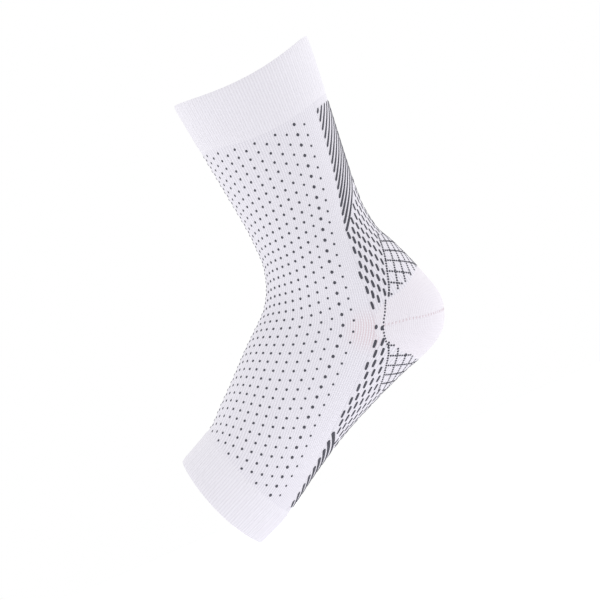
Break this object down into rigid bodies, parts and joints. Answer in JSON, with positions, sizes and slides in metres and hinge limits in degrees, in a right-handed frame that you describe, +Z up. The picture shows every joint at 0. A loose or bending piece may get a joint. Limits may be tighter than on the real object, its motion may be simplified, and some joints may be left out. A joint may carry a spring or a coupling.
{
  "type": "compression sock",
  "caption": "Knitted ankle compression sock in its worn form, with a closed heel, an open toe, ribbed bands at both ends and dark knitted patterns behind the leg and under the foot",
  "frame": {"origin": "the centre of the ankle inside the sock, on the axis of the leg", "axes": "+Z up the leg to the cuff, -X to the toes, +Y across the foot"},
  "size_m": [0.1883, 0.0808, 0.2755],
  "materials": {
    "rib_knit": "matte",
    "dotted_knit": "matte",
    "barred_knit": "matte",
    "plain_knit": "matte"
  },
  "bodies": {
    "root": {"top_cuff": "rib_knit", "instep_panel": "dotted_knit", "achilles_panel": "barred_knit", "heel_cup": "plain_knit", "sole_panel": "barred_knit", "toe_band": "rib_knit"}
  },
  "joints": []
}
